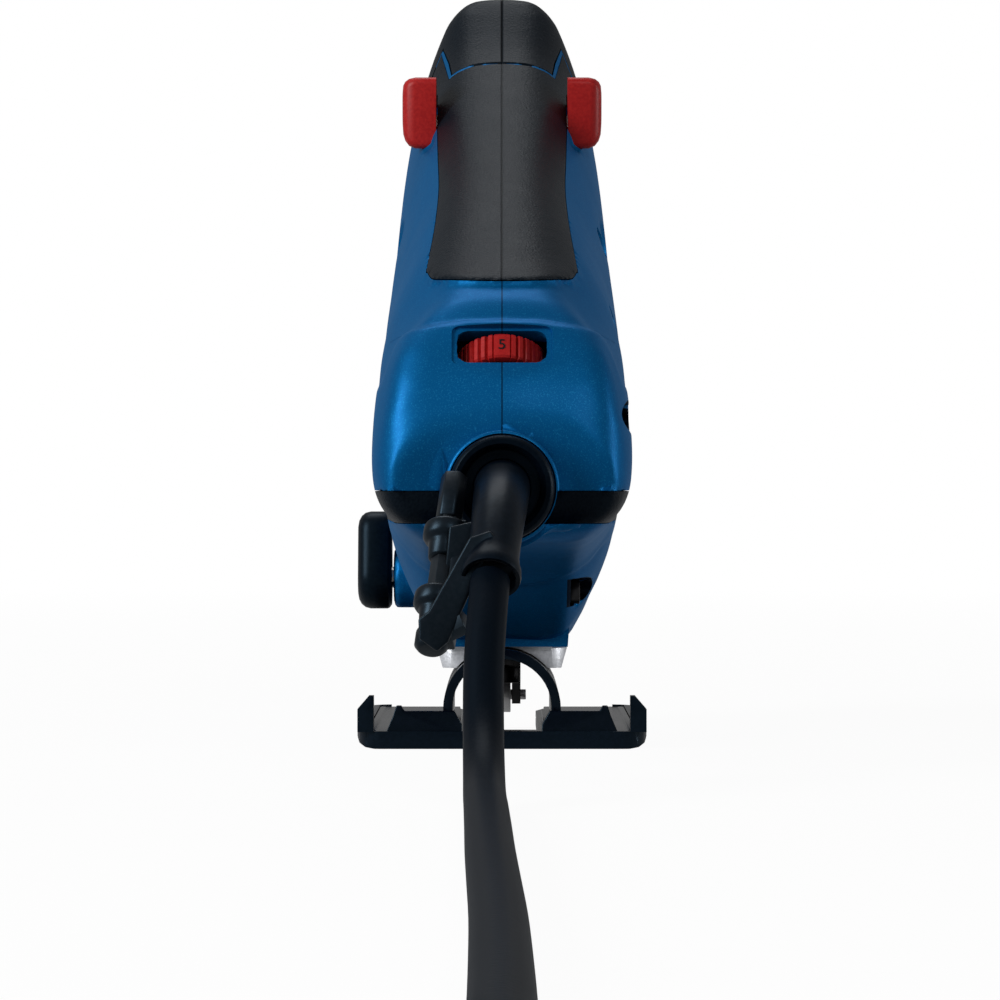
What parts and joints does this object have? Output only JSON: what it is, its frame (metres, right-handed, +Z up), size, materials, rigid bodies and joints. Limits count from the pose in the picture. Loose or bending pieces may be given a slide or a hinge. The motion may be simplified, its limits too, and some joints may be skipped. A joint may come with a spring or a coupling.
{
  "type": "jigsaw power tool",
  "caption": "Corded body-grip jigsaw with a sloping rubber grip, side slide switch, speed wheel, orbital lever, plunger drive and a tilting sole on an arched saddle.",
  "frame": {"origin": "centre of the tool without its cord, on the plane that the sole stands on", "axes": "+X to the right of the tool, +Y forwards in the cutting direction, +Z up"},
  "size_m": [0.1226, 0.9847, 0.2129],
  "materials": {
    "blue_housing": "moulded metallic blue",
    "soft_rubber": "matt black",
    "black_plastic": "satin black",
    "red_plastic": "satin red",
    "cast_metal": "bare casting",
    "bright_steel": "ground",
    "black_steel": "black coated",
    "motor_iron": "varnished laminations",
    "copper_parts": "wound copper",
    "bronze_parts": "sintered",
    "white_plastic": "moulded",
    "carbon": "pressed carbon"
  },
  "bodies": {
    "housing": {"left_housing_shell": "blue_housing", "right_housing_shell": "blue_housing", "left_softgrip": "soft_rubber", "right_softgrip": "soft_rubber", "left_nose_cap": "soft_rubber", "right_nose_cap": "soft_rubber", "left_bumper_band": "soft_rubber", "right_bumper_band": "soft_rubber", "cord_gland_ring": "black_plastic", "strain_relief_sleeve": "soft_rubber", "key_clip": "soft_rubber", "hex_key": "black_steel", "dial_spindle": "bright_steel", "speed_control_module": "black_plastic", "main_switch": "black_plastic", "gear_housing": "cast_metal", "motor_field": "motor_iron", "front_ball_bearing": "bright_steel", "rear_ball_bearing": "bright_steel", "left_carbon_brush": "carbon", "right_carbon_brush": "carbon", "gear_axle": "bright_steel", "lower_guide_bush": "bronze_parts", "upper_guide_bush": "bronze_parts", "fork_pivot_pin": "bright_steel", "saddle_clamp_washer": "bright_steel", "saddle_clamp_screw": "black_steel", "housing_screw_tail_low": "black_steel", "housing_screw_tail_top": "black_steel", "housing_screw_belly": "black_steel", "housing_screw_middle": "black_steel", "housing_screw_front": "black_steel", "power_cord": "soft_rubber", "cord_coil": "soft_rubber", "mains_plug": "soft_rubber"},
    "speed_dial": {"speed_dial": "red_plastic"},
    "switch_slider": {"left_switch_button": "red_plastic", "right_switch_button": "red_plastic", "switch_slide_bar": "black_plastic"},
    "armature": {"armature_core": "copper_parts", "armature_shaft": "bright_steel", "commutator": "copper_parts", "cooling_fan": "white_plastic", "motor_pinion": "bright_steel"},
    "gear": {"drive_gear": "bright_steel", "eccentric_bush": "bronze_parts"},
    "plunger": {"plunger_rod": "bright_steel", "plunger_yoke": "bright_steel", "blade_clamp_core": "bright_steel"},
    "clamp_sleeve": {"blade_clamp_sleeve": "black_plastic"},
    "counterweight": {"counterweight": "motor_iron"},
    "fork": {"roller_fork": "black_steel", "roller_pin": "bright_steel"},
    "roller": {"guide_roller": "black_steel"},
    "lever": {"orbital_lever": "black_plastic", "orbital_cam_shaft": "bright_steel"},
    "base": {"base_saddle": "black_steel", "base_plate": "black_steel", "slide_shoe": "black_plastic"}
  },
  "joints": [
    {"name": "dial_turn", "type": "hinge", "parent": "housing", "child": "speed_dial", "pos_m": [0, -0.0763, 0.1004], "axis": [0, 0.5446, 0.8387], "range_deg": [-100, 25]},
    {"name": "switch_travel", "type": "slide", "parent": "housing", "child": "switch_slider", "axis": [0, 0.891, 0.454], "range_m": [0, 0.007]},
    {"name": "armature_spin", "type": "hinge", "parent": "housing", "child": "armature", "pos_m": [0, 0, 0.084], "axis": [0, 1, 0], "continuous": true},
    {"name": "gear_spin", "type": "hinge", "parent": "housing", "child": "gear", "pos_m": [0, 0.08, 0.1121], "axis": [0, 1, 0], "continuous": true},
    {"name": "plunger_stroke", "type": "slide", "parent": "housing", "child": "plunger", "axis": [0, 0, 1], "range_m": [0, 0.026]},
    {"name": "counterweight_travel", "type": "slide", "parent": "housing", "child": "counterweight", "axis": [0, 0, 1], "range_m": [-0.013, 0]},
    {"name": "clamp_twist", "type": "hinge", "parent": "plunger", "child": "clamp_sleeve", "pos_m": [0, 0.108, 0.028], "axis": [0, 0, 1], "range_deg": [0, 50], "stiffness_Nm_per_rad": 0.05},
    {"name": "fork_swing", "type": "hinge", "parent": "housing", "child": "fork", "pos_m": [0, 0.091, 0.041], "axis": [1, 0, 0], "range_deg": [-3, 3]},
    {"name": "roller_spin", "type": "hinge", "parent": "fork", "child": "roller", "pos_m": [0, 0.0995, 0.0102], "axis": [1, 0, 0], "continuous": true},
    {"name": "orbit_select", "type": "hinge", "parent": "housing", "child": "lever", "pos_m": [-0.035, 0.08, 0.045], "axis": [1, 0, 0], "range_deg": [0, 60]},
    {"name": "base_tilt", "type": "hinge", "parent": "housing", "child": "base", "pos_m": [0, 0.048, 0.0106], "axis": [0, 1, 0], "range_deg": [-45, 45]}
  ],
  "couplings": [
    {"joint": "gear_spin", "follows": "armature_spin", "ratio": -0.16667},
    {"joint": "counterweight_travel", "follows": "plunger_stroke", "ratio": -0.5}
  ]
}
